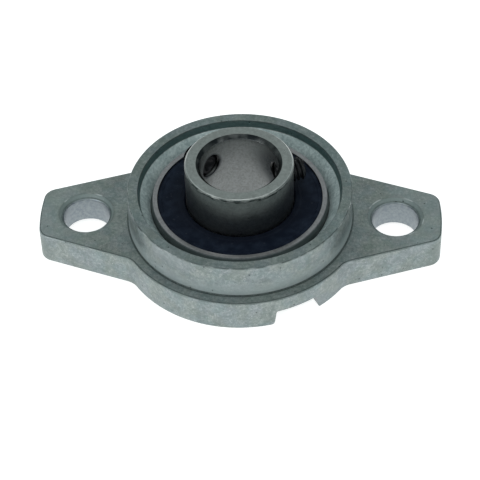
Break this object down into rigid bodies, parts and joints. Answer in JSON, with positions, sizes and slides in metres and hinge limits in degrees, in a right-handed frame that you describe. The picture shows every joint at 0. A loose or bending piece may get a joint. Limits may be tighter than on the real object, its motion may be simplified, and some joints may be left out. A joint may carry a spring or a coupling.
{
  "type": "flange bearing unit",
  "caption": "Oval flange bearing unit: a die-cast housing with bolt ears and a sealed, self-aligning ball bearing insert that locks on its shaft with set screws.",
  "frame": {"origin": "middle of the mounting face, under the middle of the bearing", "axes": "+Z along the bearing axis, away from the mounting face; +X through the two bolt holes"},
  "size_m": [0.0624, 0.038, 0.0165],
  "materials": {
    "cast_zinc": "as-cast, matt",
    "ring_steel": "turned, satin",
    "ground_steel": "ground, satin",
    "ball_steel": "polished",
    "cage_steel": "pressed, satin",
    "core_steel": "pressed, satin",
    "seal_rubber": "moulded, satin",
    "black_steel": "black oxide, satin"
  },
  "bodies": {
    "housing": {"housing": "cast_zinc"},
    "outer_ring": {"outer_ring": "ring_steel", "seal_front": "seal_rubber", "seal_front_core": "core_steel", "seal_back": "seal_rubber", "seal_back_core": "core_steel"},
    "inner_ring": {"inner_ring": "ground_steel"},
    "cage": {"cage_front": "cage_steel", "cage_back": "cage_steel", "cage_rivets": "cage_steel"},
    "ball_1": {"ball_1": "ball_steel"},
    "ball_2": {"ball_2": "ball_steel"},
    "ball_3": {"ball_3": "ball_steel"},
    "ball_4": {"ball_4": "ball_steel"},
    "ball_5": {"ball_5": "ball_steel"},
    "ball_6": {"ball_6": "ball_steel"},
    "ball_7": {"ball_7": "ball_steel"},
    "ball_8": {"ball_8": "ball_steel"},
    "set_screw_a": {"set_screw_a": "black_steel"},
    "set_screw_b": {"set_screw_b": "black_steel"}
  },
  "joints": [
    {"name": "self_align", "type": "hinge", "parent": "housing", "child": "outer_ring", "pos_m": [0, 0, 0.0055], "axis": [-0.9385, -0.3453, 0], "range_deg": [-5, 5]},
    {"name": "shaft_spin", "type": "hinge", "parent": "outer_ring", "child": "inner_ring", "pos_m": [0, 0, 0.0055], "axis": [0, 0, 1], "continuous": true},
    {"name": "cage_spin", "type": "hinge", "parent": "outer_ring", "child": "cage", "pos_m": [0, 0, 0.0055], "axis": [0, 0, 1], "continuous": true},
    {"name": "ball_1_spin", "type": "hinge", "parent": "cage", "child": "ball_1", "pos_m": [0.0099, 0, 0.0055], "axis": [0, 0, 1], "continuous": true},
    {"name": "ball_2_spin", "type": "hinge", "parent": "cage", "child": "ball_2", "pos_m": [0.007, 0.007, 0.0055], "axis": [0, 0, 1], "continuous": true},
    {"name": "ball_3_spin", "type": "hinge", "parent": "cage", "child": "ball_3", "pos_m": [0, 0.0099, 0.0055], "axis": [0, 0, 1], "continuous": true},
    {"name": "ball_4_spin", "type": "hinge", "parent": "cage", "child": "ball_4", "pos_m": [-0.007, 0.007, 0.0055], "axis": [0, 0, 1], "continuous": true},
    {"name": "ball_5_spin", "type": "hinge", "parent": "cage", "child": "ball_5", "pos_m": [-0.0099, 0, 0.0055], "axis": [0, 0, 1], "continuous": true},
    {"name": "ball_6_spin", "type": "hinge", "parent": "cage", "child": "ball_6", "pos_m": [-0.007, -0.007, 0.0055], "axis": [0, 0, 1], "continuous": true},
    {"name": "ball_7_spin", "type": "hinge", "parent": "cage", "child": "ball_7", "pos_m": [0, -0.0099, 0.0055], "axis": [0, 0, 1], "continuous": true},
    {"name": "ball_8_spin", "type": "hinge", "parent": "cage", "child": "ball_8", "pos_m": [0.007, -0.007, 0.0055], "axis": [0, 0, 1], "continuous": true},
    {"name": "set_screw_a_drive", "type": "slide", "parent": "inner_ring", "child": "set_screw_a", "axis": [0.9336, 0.3584, 0], "range_m": [-0.0002, 0.0015]},
    {"name": "set_screw_b_drive", "type": "slide", "parent": "inner_ring", "child": "set_screw_b", "axis": [-0.7771, 0.6293, 0], "range_m": [-0.0002, 0.0015]}
  ],
  "couplings": [
    {"joint": "cage_spin", "follows": "shaft_spin", "ratio": 0.37975},
    {"joint": "ball_1_spin", "follows": "shaft_spin", "ratio": -1.9587},
    {"joint": "ball_2_spin", "follows": "shaft_spin", "ratio": -1.9587},
    {"joint": "ball_3_spin", "follows": "shaft_spin", "ratio": -1.9587},
    {"joint": "ball_4_spin", "follows": "shaft_spin", "ratio": -1.9587},
    {"joint": "ball_5_spin", "follows": "shaft_spin", "ratio": -1.9587},
    {"joint": "ball_6_spin", "follows": "shaft_spin", "ratio": -1.9587},
    {"joint": "ball_7_spin", "follows": "shaft_spin", "ratio": -1.9587},
    {"joint": "ball_8_spin", "follows": "shaft_spin", "ratio": -1.9587}
  ]
}
